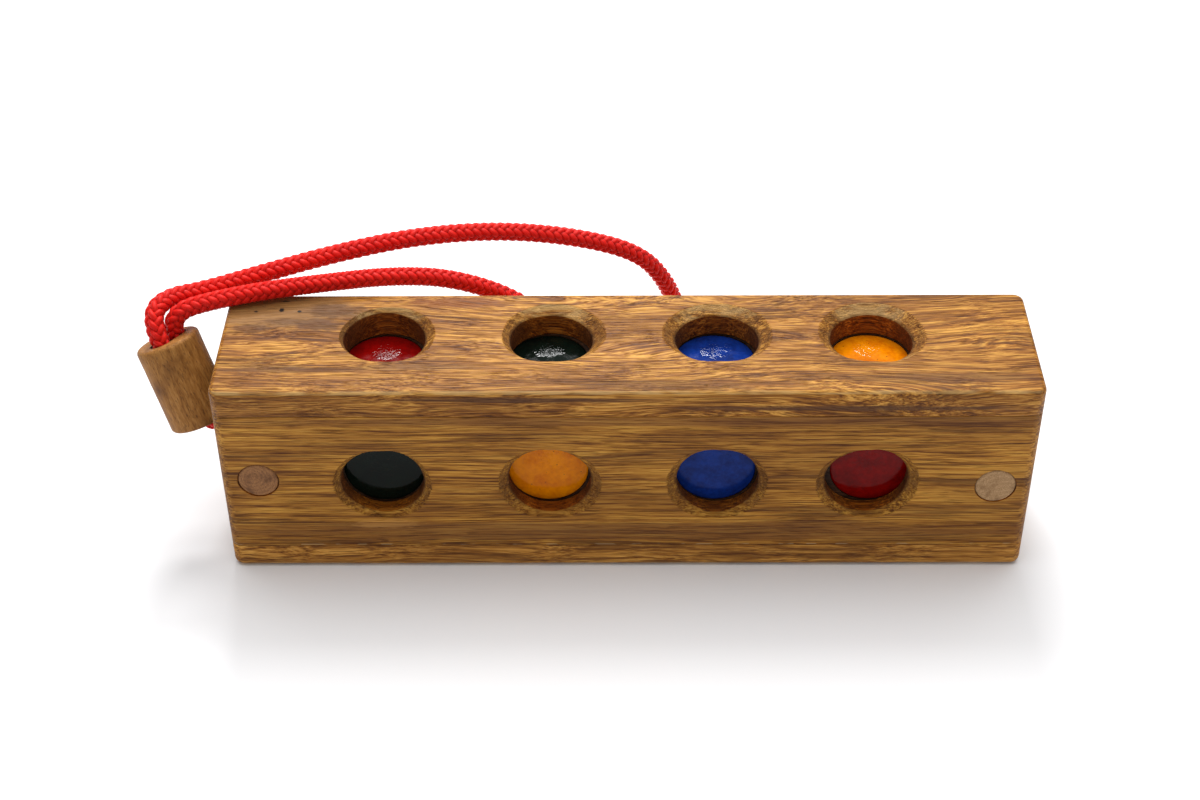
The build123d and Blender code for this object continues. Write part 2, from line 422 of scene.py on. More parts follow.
def streak_lines(paint, swayed, streaks):
    """Where the long dark streaks are, gathered in bands. A higher threshold leaves fewer."""
    lines = paint.noise(swayed, (60.0, 0.50, 0.50), 3.0, 0.55)
    bands = paint.noise(swayed, (85.0, 4.2, 4.2), 1.0)
    lines = paint.add_share(paint.minus(bands, 0.5), 0.9, lines)
    return paint.step(lines, streaks - 0.07, streaks + 0.09)


def with_marks(paint, colour, place, tone, marks):
    """Knots and swirls over the wood."""
    for middle, radii, mark_colour, strength in marks:
        patch = paint.blob(place, middle, radii)
        if strength < SOLID_MARK:
            patch = paint.times(patch, paint.step(tone, 0.34, 0.52))
        colour = paint.mix(paint.times(patch, strength), colour, mark_colour)
    return colour


def with_seam(paint, colour, place, dark):
    """The dark seam over the bottom board, and crumbs of pale glue just above it."""
    height = paint.axes(place)[2]
    broken = paint.step(paint.noise(place, (7.0, 3.0, 3.0), 2.0), 0.35, 0.55)
    seam = paint.times(paint.band(height, SEAM_HEIGHT, SEAM_HALF_WIDTH), broken)
    colour = paint.mix(paint.times(seam, 0.85), colour, dark)
    crumbs = paint.step(paint.noise(place, (4.5, 2.0, 2.0), 1.0), 0.52, 0.60)
    glue = paint.band(height, SEAM_HEIGHT + SEAM_HALF_WIDTH, SEAM_HALF_WIDTH)
    glue = paint.times(glue, crumbs)
    return paint.mix(paint.times(glue, 0.32), colour, srgb(206, 178, 134))


def with_rim_highlight_and_wear(paint, colour, place):
    """Paler wood along the bar's top and bottom rims: a painted highlight along the eased edges,
    and wear from handling.
    """
    facing_y, facing_z = paint.axes(paint.normal())[1:]
    slanting = paint.sum("ABSOLUTE", paint.times(facing_y, facing_z))
    away = paint.minus(paint.axes(place)[2], MIDDLE_HEIGHT)
    near_rim = paint.step(paint.sum("ABSOLUTE", away), 25.0, 26.5)
    rim = paint.times(paint.step(slanting, 0.25, 0.46), near_rim)
    rubbed_and_lit = paint.step(paint.noise(place, (9.0, 2.0, 2.0), 2.0), 0.3, 0.6)
    rim = paint.times(rim, rubbed_and_lit)
    # painted highlight and wear: paler wood where the rims slant between the faces
    return paint.mix(paint.times(rim, 0.55), colour, srgb(214, 176, 116))


def torn_fibres(paint, place, seed):
    """The colour and relief of torn end grain, as a drill leaves it across the fibres."""
    moved = paint.vector("ADD", place, seed)
    broad = paint.noise(moved, (2.6, 2.2, 2.2), 3.0, 0.65)
    grit = paint.noise(moved, (0.42, 0.34, 0.34), 3.0, 0.7)
    tone = paint.add_share(grit, 0.55, paint.times(broad, 0.45))
    colour = paint.ramp(
        tone, (0.42, srgb(56, 32, 13)), (0.54, srgb(112, 73, 34)), (0.68, srgb(164, 118, 66))
    )
    return colour, tone


def plank_wood(name, tones, seed, marks=(), streaks=0.62, sway=5.0, cut="face", seamed=True):
    """Oiled oak-like wood with its grain along X.

    tones are the dark, middle, light and streak colours. seed moves the figure. marks are
    (middle, radii, colour, strength) patches. cut is face for a planed face, sink for a
    countersink and wall for a drilled hole.
    """
    dark, middle, light, streak = tones
    paint = Paint(name)
    place = paint.place()
    figure = paint.vector("ADD", place, seed)
    swayed, tone = wood_grain(paint, figure, sway)
    colour = paint.ramp(tone, (0.41, dark), (0.49, middle), (0.59, light))

    broad = paint.noise(figure, (42.0, 11.0, 11.0), 2.0)
    shade = paint.ramp(broad, (0.34, srgb(206, 196, 186)), (0.62, WHITE))
    colour = paint.mix(1.0, colour, shade, "MULTIPLY")
    lines = streak_lines(paint, swayed, streaks)
    colour = paint.mix(paint.times(lines, 0.60), colour, streak)
    pores = paint.step(paint.noise(swayed, (9.0, 0.24, 0.24), 1.0), 0.59, 0.70)
    colour = paint.mix(paint.times(pores, 0.6), colour, streak)
    colour = with_marks(paint, colour, place, tone, marks)
    if seamed:
        colour = with_seam(paint, colour, place, streak)
    colour = with_rim_highlight_and_wear(paint, colour, place)

    dirt = paint.noise(place, (1.1, 0.8, 0.8), 3.0)
    rough = paint.add_share(dirt, 0.25, 0.36)
    rough = paint.add_share(pores, 0.2, rough)
    relief = paint.add_share(pores, -0.7, tone)
    relief = paint.add_share(lines, -0.25, relief)
    depth = 0.11
    if cut != "face":
        across = paint.sum("ABSOLUTE", paint.axes(paint.normal())[0])
        torn_colour, torn_tone = torn_fibres(paint, place, seed)
        torn = paint.add_share(paint.minus(torn_tone, 0.5), 1.6, across)
        torn = paint.step(torn, *TORN_FROM_TO[cut])
        colour = paint.mix(torn, colour, torn_colour)
        rough = paint.add_share(torn, 0.3, rough)
        relief = paint.add_share(torn_tone, 2.2, relief)
        depth = 0.2
    if cut == "wall":
        ridges = paint.noise(place, (9.0, 0.35, 0.35), 2.0)
        relief = paint.add_share(ridges, 0.8, relief)
        # darker, redder walls: partly the oiled wood's own tint, partly painted shade inside the
        # holes
        colour = paint.mix(1.0, colour, srgb(250, 212, 176), "MULTIPLY")
    return paint.finish(colour, rough, relief, depth, Specular_IOR_Level=0.18)


def torn_shaded_wood(name, pale, deep, seed):
    """The rough wood inside the bead's holes, dark from torn grain and from painted shade."""
    paint = Paint(name)
    place = paint.vector("ADD", paint.place(), seed)
    broad = paint.noise(place, (3.2, 2.4, 2.4), 3.0, 0.65)
    grit = paint.noise(place, (0.34, 0.3, 0.3), 2.0, 0.7)
    tone = paint.add_share(broad, 0.6, paint.times(grit, 0.4))
    # the dark ramp is partly painted shade inside the holes
    colour = paint.ramp(tone, (0.38, deep), (0.60, pale))
    rough = paint.add_share(grit, 0.2, 0.65)
    return paint.finish(colour, rough, tone, 0.3, Specular_IOR_Level=0.25)


def end_grain(name, pale, deep, pith, seed, ring_pitch, axis=0, ring_share=0.35):
    """End grain: growth rings about a pith, fine grit, blotches and open pores."""
    paint = Paint(name)
    place = paint.place()
    flat = [1.0, 1.0, 1.0]
    flat[axis] = 0.0
    offset = paint.vector("MULTIPLY", paint.vector("SUBTRACT", place, pith), tuple(flat))
    wander = paint.noise(paint.vector("ADD", place, seed), (5.0, 5.0, 5.0), 2.0)
    reach = paint.add_share(wander, 2.4, paint.vector("LENGTH", offset))
    rings = paint.sum("SINE", paint.times(reach, 2 * math.pi / ring_pitch))
    rings = paint.add_share(rings, 0.5, 0.5)
    grit = paint.noise(place, (0.35, 0.35, 0.35), 3.0, 0.7)
    fine = paint.times(grit, 1.0 - ring_share)
    tone = paint.add_share(rings, ring_share, fine)
    colour = paint.ramp(tone, (0.28, deep), (0.66, pale))
    blotch = paint.noise(place, (4.0, 4.0, 4.0), 2.0)
    colour = paint.mix(paint.step(blotch, 0.5, 0.75), colour, deep)
    pores = paint.step(paint.minus(1.0, paint.spots(place, (0.5, 0.5, 0.5))), 0.78, 0.92)
    colour = paint.mix(paint.times(pores, 0.7), colour, deep)
    rough = paint.add_share(grit, 0.2, 0.5)
    relief = paint.add_share(pores, -0.6, tone)
    return paint.finish(colour, rough, relief, 0.12, Specular_IOR_Level=0.3)


def enamel(name, colour, deep, specks, speck_colour, seed):
    """Thick gloss enamel with an orange-peel skin, dull smears and a few specks."""
    paint = Paint(name)
    place = paint.vector("ADD", paint.place(), seed)
    cloud = paint.noise(place, (3.4, 3.4, 3.4), 3.0, 0.6)
    fine = paint.noise(place, (0.9, 0.9, 0.9), 2.0)
    tone = paint.add_share(fine, 0.3, paint.times(cloud, 0.7))
    base = paint.ramp(tone, (0.36, deep), (0.62, colour))
    dots = paint.minus(1.0, paint.spots(place, (2.1, 2.1, 2.1)))
    dots = paint.step(dots, 1.0 - specks, 1.02 - specks * 0.6)
    base = paint.mix(paint.times(dots, 0.8), base, speck_colour)
    peel = paint.noise(place, (0.65, 0.65, 0.65), 1.5, 0.5)
    from_middle = paint.add_share(cloud, 0.5, paint.value("from_middle"))
    crinkled = paint.minus(1.0, paint.step(from_middle, 0.48, 0.72))
    relief = paint.times(peel, paint.add_share(crinkled, 0.92, 0.08))
    smears = paint.step(paint.noise(place, (3.0, 3.0, 3.0), 2.0), 0.42, 0.66)
    rough = paint.add_share(smears, 0.10, 0.07)
    return paint.finish(base, rough, relief, 0.18, Specular_IOR_Level=0.13)


def cord_material():
    """Red braid: fibres along each strand, with painted shade where a strand passes under the
    others.
    """
    paint = Paint("cord_red")
    height, along = paint.value("strand_height"), paint.value("strand_along")
    across, tint = paint.value("strand_across"), paint.value("strand_tint")
    thread = paint.node("ShaderNodeCombineXYZ", [(0, along), (1, across), (2, tint)]).outputs[0]
    fibres = paint.noise(thread, (1.6, 0.22, 0.05), 3.0, 0.6)
    place = paint.place()
    fuzz = paint.noise(place, (0.5, 0.5, 0.5), 3.0, 0.7)
    worn = paint.noise(place, (14.0, 14.0, 14.0), 2.0)
    tone = paint.add_share(fibres, 0.5, paint.times(fuzz, 0.3))
    tone = paint.add_share(worn, 0.2, tone)
    colour = paint.ramp(
        tone, (0.36, srgb(190, 8, 3)), (0.5, srgb(224, 20, 8)), (0.66, srgb(246, 44, 24))
    )
    # painted shade: darker red in the creases where a strand passes under the others
    crease_shade = paint.step(height, -0.8, 0.45)
    colour = paint.mix(paint.minus(1.0, crease_shade), colour, srgb(104, 1, 2))
    rough = paint.add_share(fuzz, 0.25, 0.36)
    return paint.finish(colour, rough, tone, 0.10, Specular_IOR_Level=0.20, Sheen_Weight=0.04,
                        Sheen_Roughness=0.5)


def knot_material():
    """The cord's red where it is knotted: coarse stitches in its own relief, with painted shade in
    the creases between them.
    """
    paint = Paint("knot_red")
    place = paint.place()
    stitches = paint.spots(place, (2.0, 1.2, 1.2))
    fibres = paint.noise(place, (0.6, 0.25, 0.25), 3.0)
    tone = paint.add_share(fibres, 0.4, paint.times(stitches, 0.6))
    # painted shade: darker red towards the stitches' edges, where the relief sinks
    colour = paint.ramp(tone, (0.2, srgb(222, 36, 32)), (0.7, srgb(110, 4, 8)))
    rough = paint.add_share(fibres, 0.2, 0.5)
    return paint.finish(colour, rough, paint.times(stitches, -1.0), 0.5)


def bead_wood():
    """Turned brown wood with its grain along the leaning bead."""
    paint = Paint("bead_wood")
    along = (BEAD_TOP - BEAD_BOTTOM).normalized()
    place = paint.vector("SUBTRACT", paint.place(), tuple(BEAD_BOTTOM / MM))
    reach = paint.vector("DOT_PRODUCT", place, tuple(along))
    lying = paint.node("ShaderNodeCombineXYZ", [(0, reach), (1, reach), (2, reach)]).outputs[0]
    shift = paint.vector("MULTIPLY", lying, tuple(along * 0.82))
    grain = paint.vector("SUBTRACT", place, shift)
    coarse = paint.noise(grain, (1.5, 1.5, 1.5), 3.0, 0.6)
    fine = paint.noise(grain, (0.38, 0.38, 0.38), 3.0, 0.65)
    tone = paint.add_share(fine, 0.5, paint.times(coarse, 0.5))
    colour = paint.ramp(
        tone, (0.32, srgb(120, 74, 28)), (0.50, srgb(158, 107, 50)), (0.68, srgb(182, 130, 70))
    )
    broad = paint.noise(place, (9.0, 9.0, 9.0), 2.0)
    colour = paint.mix(paint.step(broad, 0.5, 0.75), colour, srgb(108, 66, 28))
    pores = paint.step(paint.noise(grain, (0.24, 0.24, 0.24), 1.0), 0.62, 0.72)
    colour = paint.mix(paint.times(pores, 0.5), colour, srgb(62, 36, 20))
    rough = paint.add_share(fine, 0.25, 0.46)
    relief = paint.add_share(pores, -0.6, tone)
    return paint.finish(colour, rough, relief, 0.14, Specular_IOR_Level=0.2)


def floor_material():
    """A pale smooth surface with the faintest unevenness."""
    paint = Paint("floor_pale")
    cloud = paint.noise(paint.place(), (300.0, 300.0, 300.0), 3.0)
    colour = paint.ramp(cloud, (0.3, srgb(243, 243, 245)), (0.7, srgb(247, 247, 248)))
    rough = paint.add_share(cloud, 0.1, 0.55)
    return paint.finish(colour, rough, cloud, 0.01, Specular_IOR_Level=0.2)


# ---------------------------------------- mesh tools

CORNER_STEPS = 6
EDGE_STEPS = 6


def bumpy(point, size, seed):
    """Soft noise from -1 to 1 at a point in metres, with bumps about size across."""
    return noise.noise(Vector(point) / size + Vector((seed * 7.13, seed * 3.71, seed * 5.37)))


def new_ring(bm, points):
    """Vertices round a closed ring."""
    return [bm.verts.new(point) for point in points]


def bridge(bm, first, second, material=0):
    """Faces between two rings of the same count."""
    count = len(first)
    for i in range(count):
        j = (i + 1) % count
        face = bm.faces.new((first[i], first[j], second[j], second[i]))
        face.smooth, face.material_index = True, material


def skin(bm, rings, material=0):
    """Faces from each ring of points to the next; returns the rings' vertices."""
    made = [new_ring(bm, ring) for ring in rings]
    for first, second in zip(made, made[1:]):
        bridge(bm, first, second, material)
    return made


def cover(bm, rings, material=0):
    """A flat face from one outer ring of vertices to any rings inside it."""
    edges = []
    for ring in rings:
        for first, second in zip(ring, ring[1:] + ring[:1]):
            edges.append(bm.edges.get((first, second)) or bm.edges.new((first, second)))
    filled = bmesh.ops.triangle_fill(bm, edges=edges, use_beauty=True, use_dissolve=False)
    for part in filled["geom"]:
        if isinstance(part, bmesh.types.BMFace):
            part.material_index = material
    for edge in edges:
        edge.smooth = False


def solid(name, bm, materials, body, replaces, slot):
    """Turns a closed bmesh into a piece that rides on a body and stands for CAD nodes."""
    bmesh.ops.recalc_face_normals(bm, faces=bm.faces)
    mesh = bpy.data.meshes.new(name)
    bm.to_mesh(mesh)
    bm.free()
    for material in materials:
        mesh.materials.append(material)
    piece = link(bpy.data.objects.new(name, mesh))
    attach(piece, body)
    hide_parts(*replaces)
    return piece


# ---------------------------------------- boards

# (place along the bar, reach of the countersink to the right, far or upper, left and near or
# lower side)
TOP_WINDOWS = (
    (-0.0596, (0.0128, 0.0112, 0.0112, 0.0108)),
    (-0.0186, (0.0136, 0.0128, 0.0122, 0.0109)),
    (0.0224, (0.0136, 0.0129, 0.0135, 0.0109)),
    (0.0604, (0.0136, 0.0130, 0.0132, 0.0111)),
)
FRONT_WINDOWS = (
    (-0.0602, (0.0123, 0.0107, 0.0121, 0.0114)),
    (-0.0190, (0.0130, 0.0108, 0.0128, 0.0114)),
    (0.0224, (0.0126, 0.0108, 0.0130, 0.0115)),
    (0.0591, (0.0130, 0.0108, 0.0126, 0.0114)),
)
BOTTOM_WINDOWS = (
    (-0.0599, (0.0126, 0.0114, 0.0129, 0.0110)),
    (-0.0188, (0.0131, 0.0110, 0.0124, 0.0113)),
    (0.0224, (0.0127, 0.0112, 0.0134, 0.0112)),
    (0.0598, (0.0129, 0.0109, 0.0123, 0.0115)),
)
BACK_WINDOWS = (
    (-0.0599, (0.0129, 0.0110, 0.0125, 0.0113)),
    (-0.0192, (0.0122, 0.0109, 0.0126, 0.0115)),
    (0.0222, (0.0132, 0.0111, 0.0127, 0.0112)),
    (0.0596, (0.0124, 0.0108, 0.0127, 0.0114)),
)
TOP_WINDOW_Y = 0.0030
FRONT_WINDOW_Z = 0.0278
WINDOW_RADIUS = 10.2 * MM
SINK_LEAST, SINK_SLOPE = 0.5 * MM, 0.52
# how far across the countersink each ring is, and how far down
SINK_PROFILE = (
    (0.0, 0.0), (0.05, 0.015), (0.13, 0.08), (0.28, 0.25), (0.50, 0.50), (0.75, 0.77), (1.0, 1.0)
)
WALL_SHARES = (0.04, 0.12, 0.30, 0.55, 0.80, 1.0)
WINDOW_SIDES = 132
CORNER_RADIUS = 2.6 * MM
TOP_RIM_RADIUS = 1.2 * MM
BOTTOM_RIM_RADIUS = 1.8 * MM
SEAM = 0.12 * MM
PEG_GAP, DOWEL_GAP = 0.1 * MM, 0.02 * MM
PEG_HOLE_SIDES = 72
FLAT, SINK, WALL = 0, 1, 2


def outline(half_u, half_v, corner, centre_v=0.0):
    """The points of a rounded rectangle about the bar's middle."""
    points = []
    for quarter, (side_u, side_v) in enumerate(((1, 1), (-1, 1), (-1, -1), (1, -1))):
        for step in range(CORNER_STEPS + 1):
            turn = math.pi / 2 * (quarter + step / CORNER_STEPS)
            points.append((
                side_u * (half_u - corner) + corner * math.cos(turn),
                centre_v + side_v * (half_v - corner) + corner * math.sin(turn),
            ))
    return points


def eased(radius):
    """How far in and how deep a rounded edge is, step by step from the face to the side."""
    for step in range(EDGE_STEPS + 1):
        turn = math.pi / 2 * step / EDGE_STEPS
        yield radius * (1 - math.sin(turn)), radius * (1 - math.cos(turn))


def mouth_reach(turn, reaches):
    """The countersink's reach at an angle, from its reaches to the four sides."""
    right, far, left, near = reaches
    along, beside = math.cos(turn), math.sin(turn)
    weight = abs(along) ** 1.3
    return weight * (right if along > 0 else left) + (1 - weight) * (far if beside > 0 else near)


def window_rings(u, v, reaches, thickness, place, seed):
    """The rings of one countersunk window from its mouth to the board's inner face.

    place turns (u, v, depth) into a point. The drill tore the wood, most where it met end grain.
    """
    steps = [(across, down, 0.0) for across, down in SINK_PROFILE]
    steps += [(1.0, 1.0, share) for share in WALL_SHARES]
    rings = []
    for across, down, walling in steps:
        points = []
        for side in range(WINDOW_SIDES):
            turn = 2 * math.pi * side / WINDOW_SIDES
            away = Vector((math.cos(turn), math.sin(turn)))
            width = mouth_reach(turn, reaches) - WINDOW_RADIUS
            sunk = SINK_LEAST + SINK_SLOPE * width
            depth = sunk * down + (thickness - sunk) * walling
            uneven = (
                0.12 * math.cos(2 * turn + seed)
                + 0.10 * math.cos(3 * turn + 2.3 * seed)
                + 0.05 * math.cos(5 * turn + 1.7 * seed)
            ) * MM
            radius = WINDOW_RADIUS + width * (1.0 - across) + uneven * (1.0 - walling)
            spot = place(u + away.x * radius, v + away.y * radius, depth)
            torn = 0.25 + 0.75 * abs(away.x)
            rough = bumpy(spot, 1.6 * MM, seed) + 0.6 * bumpy(spot, 0.6 * MM, seed + 3)
            shift = 0.11 * MM * torn * rough * (0.2 if walling > 0 else 1.0)
            radius += shift
            if 0 < across < 1:
                depth += 0.6 * shift
            points.append(place(u + away.x * radius, v + away.y * radius, depth))
        rings.append(points)
    return rings


def round_rings(u, v, radii_depths, place, uneven, seed):
    """Rings about one point, each with its radius and depth, worn slightly uneven."""
    rings = []
    for radius, depth in radii_depths:
        points = []
        for side in range(PEG_HOLE_SIDES):
            turn = 2 * math.pi * side / PEG_HOLE_SIDES
            spot = place(u + radius * math.cos(turn), v + radius * math.sin(turn), depth)
            reach = radius + uneven * bumpy(spot, 1.6 * MM, seed)
            points.append(place(u + reach * math.cos(turn), v + reach * math.sin(turn), depth))
        rings.append(points)
    return rings


def board(name, side_loops, windows, v, thickness, place, materials, slot, peg_holes=()):
    """One drilled board. side_loops are (outline, depth) pairs from its outer to its inner face."""
    bm = bmesh.new()
    sides = skin(bm, [[place(u, w, depth) for u, w in loop] for loop, depth in side_loops], FLAT)
    mouths, inner = [], []
    for number, (u, reaches) in enumerate(windows):
        seed = number * 1.9 + v * 40 + len(name)
        rings = window_rings(u, v, reaches, thickness, place, seed)
        made = [new_ring(bm, ring) for ring in rings]
        for index, (first, second) in enumerate(zip(made, made[1:])):
            bridge(bm, first, second, SINK if index < len(SINK_PROFILE) - 1 else WALL)
        mouths.append(made[0])
        inner.append(made[-1])
    for u, w, radius in peg_holes:
        worn = 0.12 * MM
        profile = ((radius + worn, 0.0), (radius, 2 * worn), (radius, thickness))
        made = skin(bm, round_rings(u, w, profile, place, 0.05 * MM, u * 90), WALL)
        mouths.append(made[0])
        inner.append(made[-1])
    cover(bm, [sides[0], *mouths], FLAT)
    cover(bm, [sides[-1], *inner], FLAT)
    return solid(name + "_wood", bm, materials, "case", [name], slot)


def lid_board(name, windows, rim, place, materials, slot):
    """The top or bottom board, with its rim eased all round."""
    low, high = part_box(name)
    size = high - low
    half_u, half_v, thickness = size.x / 2, size.y / 2, size.z
    loops = []
    for inset, depth in eased(rim):
        corner = max(CORNER_RADIUS - inset, 0.2 * MM)
        loops.append((outline(half_u - inset, half_v - inset, corner), depth))
    loops.append((outline(half_u, half_v, CORNER_RADIUS), thickness - SEAM))
    loops.append((outline(half_u - SEAM, half_v - SEAM, CORNER_RADIUS - SEAM), thickness))
    return board(name, loops, windows, TOP_WINDOW_Y, thickness, place, materials, slot)


def side_board(name, windows, place, materials, slot, peg_holes=()):
    """The front or back board, with its two upright edges rounded."""
    low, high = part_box(name)
    size = high - low
    half_u, half_v, thickness = size.x / 2, size.z / 2, size.y
    centre_v, corner = (low.z + high.z) / 2, 0.03 * MM
    loops = []
    for inset, depth in eased(CORNER_RADIUS):
        seam = SEAM * max(0.0, 1 - depth / SEAM)
        loops.append((outline(half_u - inset, half_v - seam, corner, centre_v), depth))
    loops.append((outline(half_u, half_v, corner, centre_v), thickness))
    return board(
        name, loops, windows, FRONT_WINDOW_Z, thickness, place, materials, slot, peg_holes
    )


# ---------------------------------------- turned pieces

TURNED_SIDES = 64
PEG_CHAMFER, PEG_CROWN = 0.4 * MM, 0.05 * MM
# how far in and how deep the worn rim of a peg's end is
PEG_RIM = (0.12 * MM, 0.18 * MM)


def turned(name, profile, frame_matrix, rough, bump, seed, material, made_for):
    """A closed round solid: (radius, height) steps from its face's middle round to its back's.

    rough is the relief's height and bump its size. made_for is (body, node, slot); its slot is not
    used.
    """
    bm = bmesh.new()

    def spot(radius, turn, height):
        place = frame_matrix @ Vector((radius * math.cos(turn), radius * math.sin(turn), height))
        lift = rough * bumpy(place, bump, seed)
        return place + (frame_matrix.to_3x3() @ Vector((0.0, 0.0, lift)))

    rings = [
        [spot(radius, 2 * math.pi * side / TURNED_SIDES, height) for side in range(TURNED_SIDES)]
        for radius, height in profile[1:-1]
    ]
    made = skin(bm, rings)
    for ring, (_, height) in ((made[0], profile[0]), (made[-1], profile[-1])):
        middle = bm.verts.new(spot(0.0, 0.0, height))
        for first, second in zip(ring, ring[1:] + ring[:1]):
            face = bm.faces.new((first, second, middle))
            face.smooth = True
    body, node, slot = made_for
    return solid(name, bm, [material], body, [node], slot)


def facing(node, side):
    """A frame on a node's outer end: its middle, with Z pointing out of the case on that side."""
    low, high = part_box(node)
    middle = (low + high) / 2
    outward, end = {
        "top": (Vector((0, 0, 1)), high.z),
        "bottom": (Vector((0, 0, -1)), low.z),
        "front": (Vector((0, -1, 0)), low.y),
        "back": (Vector((0, 1, 0)), high.y),
    }[side]
    axis = 2 if side in ("top", "bottom") else 1
    middle[axis] = end
    turn = outward.to_track_quat("Z", "X").to_matrix().to_4x4()
    return Matrix.Translation(middle) @ turn, (high - low)[axis], (high - low).x / 2


# how far a dot's crown is under its box, falls to its rim and is eased there
DOT_SUNK, DOT_FALL, DOT_EDGE = 0.02 * MM, 0.20 * MM, 0.06 * MM
DOT_RINGS = 22
# where each side's enamel dried last and crinkled, from the dot's middle
DRIED_LAST = {
    "top": (0.0, 4.7 * MM, 0.0),
    "bottom": (0.0, 3.0 * MM, 0.0),
    "front": (0.0, 0.0, 3.0 * MM),
    "back": (0.0, 0.0, 4.0 * MM),
}


def enamel_dot(number, side, material, colour):
    """A block's dot: a thick domed drop of enamel with an eased rim."""
    node = f"dot_{number}_{side}"
    place, thickness, radius = facing(node, side)
    profile = [(0.0, -DOT_SUNK)]
    for step in range(1, DOT_RINGS + 1):
        share = step / DOT_RINGS
        profile.append((radius * share * 0.994, -DOT_SUNK - DOT_FALL * share**2.2))
    profile.append((radius, -DOT_SUNK - DOT_FALL - DOT_EDGE))
    profile.append((radius, -thickness))
    profile.append((0.0, -thickness))
    seed = number * 3.1 + len(side)
    made_for = (f"block_{number}_body", node, f"{colour}_paint")
    dot = turned(node + "_enamel", profile, place, 0.02 * MM, 3.0 * MM, seed, material, made_for)
    dried_last = place.translation + Vector(DRIED_LAST[side])
    shares = [(vertex.co - dried_last).length / radius for vertex in dot.data.vertices]
    add_point_values(dot, "from_middle", shares)


def peg_piece(name, node, body, slot, material, seed):
    """A round pin with its sawn end in the front face: worn rim, slightly crowned end."""
    place, length, radius = facing(node, "front")
    profile = [(0.0, 0.0)]
    for step in range(1, 10):
        share = step / 9
        profile.append(((radius - PEG_CHAMFER) * share, -PEG_CROWN * share**2))
    profile.append((radius - PEG_RIM[0], -PEG_RIM[1]))
    profile.append((radius, -PEG_CHAMFER))
    profile.append((radius, -length + PEG_CHAMFER))
    profile.append((radius - PEG_CHAMFER, -length))
    profile.append((0.0, -length))
    made_for = (body, node, slot)
    return turned(name, profile, place, 0.07 * MM, 1.6 * MM, seed, material, made_for)


# ---------------------------------------- bead

BEAD_BOTTOM = Vector((-0.1076, 0.0022, 0.0302))
BEAD_TOP = Vector((-0.1153, 0.0092, 0.0505))
BEAD_RADIUS = 8.2 * MM
BEAD_EDGE_RADIUS = 1.0 * MM
BEAD_HOLE_RADIUS = 2.6 * MM
BEAD_FLARE = 3.9 * MM
BEAD_SIDES, SLOT_STEPS = 96, 20


def crossings(line, point, normal):
    """Where a line passes through a plane, in order along it."""
    side = (line - np.array(point)) @ np.array(normal)
    found = []
    for i in np.flatnonzero(side[:-1] * side[1:] < 0):
        share = side[i] / (side[i] - side[i + 1])
        found.append(Vector(line[i] + (line[i + 1] - line[i]) * share))
    return found


def slot_ring(first, second, radius, square):
    """The points round a slot with two round ends, in the plane of two square directions."""
    along = (second - first).normalized()
    beside = square.cross(along)
    points = []
    for end, middle in ((1, second), (-1, first)):
        for step in range(SLOT_STEPS + 1):
            turn = math.pi * (step / SLOT_STEPS - 0.5)
            away = along * math.cos(turn) + beside * math.sin(turn)
            points.append(middle + end * radius * away)
    return points


def make_bead(line, material, hole_material):
    """The turned bead: rounded rims, a slot at its top for both strands, a hole at its bottom."""
    axis = (BEAD_TOP - BEAD_BOTTOM).normalized()
    length = (BEAD_TOP - BEAD_BOTTOM).length
    across = axis.cross(Vector((0, 0, 1))).normalized()
    beside = axis.cross(across)

    def ring(radius, height):
        points = []
        for side in range(BEAD_SIDES):
            turn = 2 * math.pi * side / BEAD_SIDES
            away = across * math.cos(turn) + beside * math.sin(turn)
            spot = BEAD_BOTTOM + axis * height + away * radius
            points.append(spot + away * 0.06 * MM * bumpy(spot, 5 * MM, 2.0))
        return points

    rims = list(eased(BEAD_EDGE_RADIUS))
    profile = [(BEAD_RADIUS - inset, depth) for inset, depth in rims]
    profile += [(BEAD_RADIUS, length * share / 8) for share in range(1, 8)]
    profile += [(BEAD_RADIUS - inset, length - depth) for inset, depth in reversed(rims)]
    bm = bmesh.new()
    outside = skin(bm, [ring(radius, height) for radius, height in profile])
    flare = ((BEAD_FLARE, 0.0), (BEAD_FLARE - 0.3 * MM, 4 * MM), (BEAD_HOLE_RADIUS, 4.3 * MM),
             (BEAD_HOLE_RADIUS, 8 * MM))
    low_hole = skin(bm, [ring(radius, height) for radius, height in flare], 1)
    cover(bm, [outside[0], low_hole[0]])
    cover(bm, [low_hole[-1]], 1)

    near = line[np.linalg.norm(line - np.array(BEAD_TOP), axis=1) < 9 * MM]
    strands = crossings(near, BEAD_TOP, axis)
    rising, falling = strands[0], strands[-1]
    # the slot leans as the cord does between its points under and over the bead
    lean = Vector(CORD_ROUTE[4]) - Vector(CORD_ROUTE[2])
    lean /= lean.dot(axis)
    slot_profile = ((0.35 * MM, 0.0), (0.05 * MM, 0.3 * MM), (0.0, 3 * MM), (0.0, 6 * MM))
    rings = []
    for extra, depth in slot_profile:
        mouth = slot_ring(rising, falling, BEAD_HOLE_RADIUS + extra, axis)
        rings.append([point - lean * depth for point in mouth])
    top_hole = skin(bm, rings, 1)
    cover(bm, [outside[-1], top_hole[0]])
    cover(bm, [top_hole[-1]], 1)
    return solid("turned_bead", bm, [material, hole_material], "case", ["bead"], "bead_wood")


# ---------------------------------------- the puzzle

